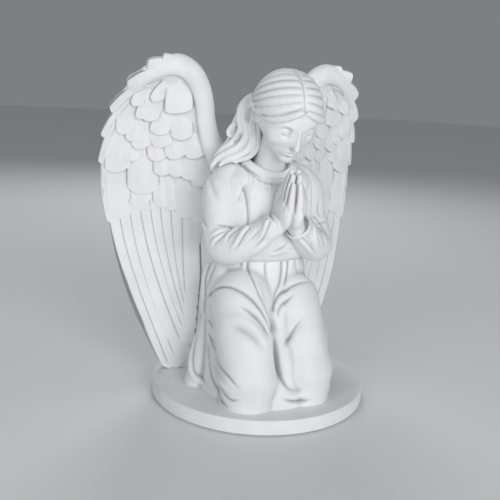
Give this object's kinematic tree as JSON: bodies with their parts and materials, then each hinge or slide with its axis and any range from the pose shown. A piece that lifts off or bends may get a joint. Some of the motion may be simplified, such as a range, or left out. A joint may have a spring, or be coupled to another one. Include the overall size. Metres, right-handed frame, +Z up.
{
  "type": "angel figurine",
  "caption": "Matt white resin figurine of an angel kneeling in prayer, head bowed, hands together and feathered wings raised behind, on a round disc plinth.",
  "frame": {"origin": "centre of the felt's flat underside, on the disc plinth's axis", "axes": "+Z up along the disc's axis; the figure faces -Y; +X towards the figure's left hand"},
  "size_m": [0.1992, 0.15, 0.2315],
  "materials": {
    "white_resin": "matt",
    "felt": "short nap felt",
    "steel": "plain turned",
    "brass": "knurled insert stock"
  },
  "bodies": {
    "root": {"plinth": "white_resin", "felt_pad": "felt", "skirt": "white_resin", "pour_plug": "white_resin", "bodice": "white_resin", "right_sleeve": "white_resin", "left_sleeve": "white_resin", "right_hand": "white_resin", "left_hand": "white_resin", "head": "white_resin", "hair": "white_resin", "right_wing": "white_resin", "left_wing": "white_resin", "waist_dowels": "steel", "neck_dowel": "steel", "shoulder_dowels": "steel", "wrist_dowels": "steel", "wing_dowels": "steel", "wing_tip_pins": "steel", "threaded_inserts": "brass", "plinth_screws": "steel", "screw_washers": "steel"}
  },
  "joints": []
}
